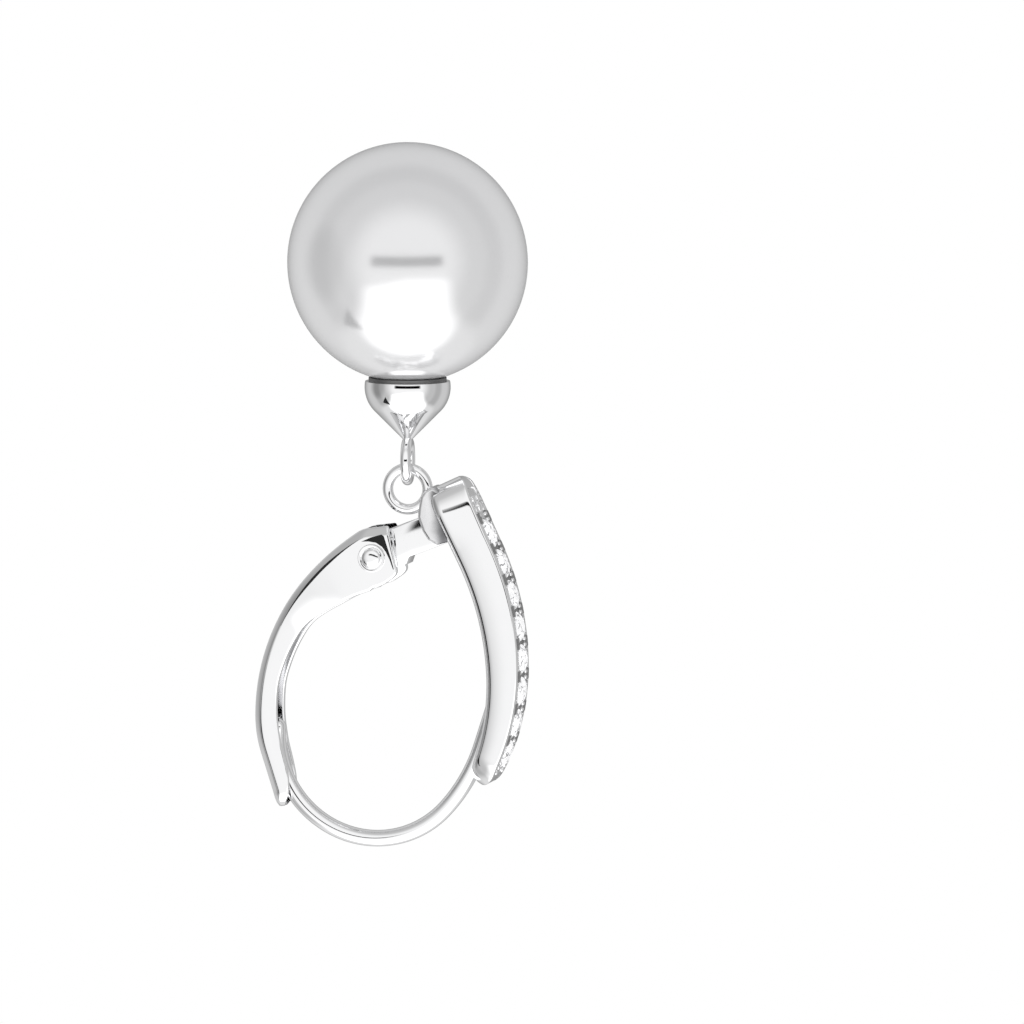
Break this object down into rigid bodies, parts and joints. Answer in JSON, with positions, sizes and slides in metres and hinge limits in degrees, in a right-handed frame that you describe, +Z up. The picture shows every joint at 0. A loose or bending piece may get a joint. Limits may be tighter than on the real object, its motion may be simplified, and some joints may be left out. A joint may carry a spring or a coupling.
{
  "type": "lever-back pearl drop earring with a stone-set front bar",
  "caption": "Closed lever-back hoop with a row of round clear stones on its front bar and a round pearl hanging in a cup below.",
  "frame": {"origin": "inside of the ear wire's top, where the earring hangs in the ear lobe", "axes": "+Z up; the hoop lies in the plane X = 0; -Y is the front with the row of stones, +Y the back with the lever"},
  "size_m": [0.012, 0.014, 0.0354],
  "materials": {
    "silver": "polished silver",
    "pearl": "white pearl lustre",
    "stone": "clear, faceted"
  },
  "bodies": {
    "hoop": {"hoop": "silver", "stone_1": "stone", "stone_2": "stone", "stone_3": "stone", "stone_4": "stone", "stone_5": "stone", "stone_6": "stone", "stone_7": "stone", "stone_8": "stone"},
    "lever": {"lever": "silver", "hinge_pin": "silver"},
    "drop": {"pearl_cup": "silver", "pearl": "pearl"}
  },
  "joints": [
    {"name": "lever_hinge", "type": "hinge", "parent": "hoop", "child": "lever", "pos_m": [0, 0, -0.01385], "axis": [-1, 0, 0], "range_deg": [0, 60]},
    {"name": "drop_swing", "type": "hinge", "parent": "hoop", "child": "drop", "pos_m": [0, -0.00157, -0.01726], "axis": [1, 0, 0], "range_deg": [-50, 55]}
  ]
}
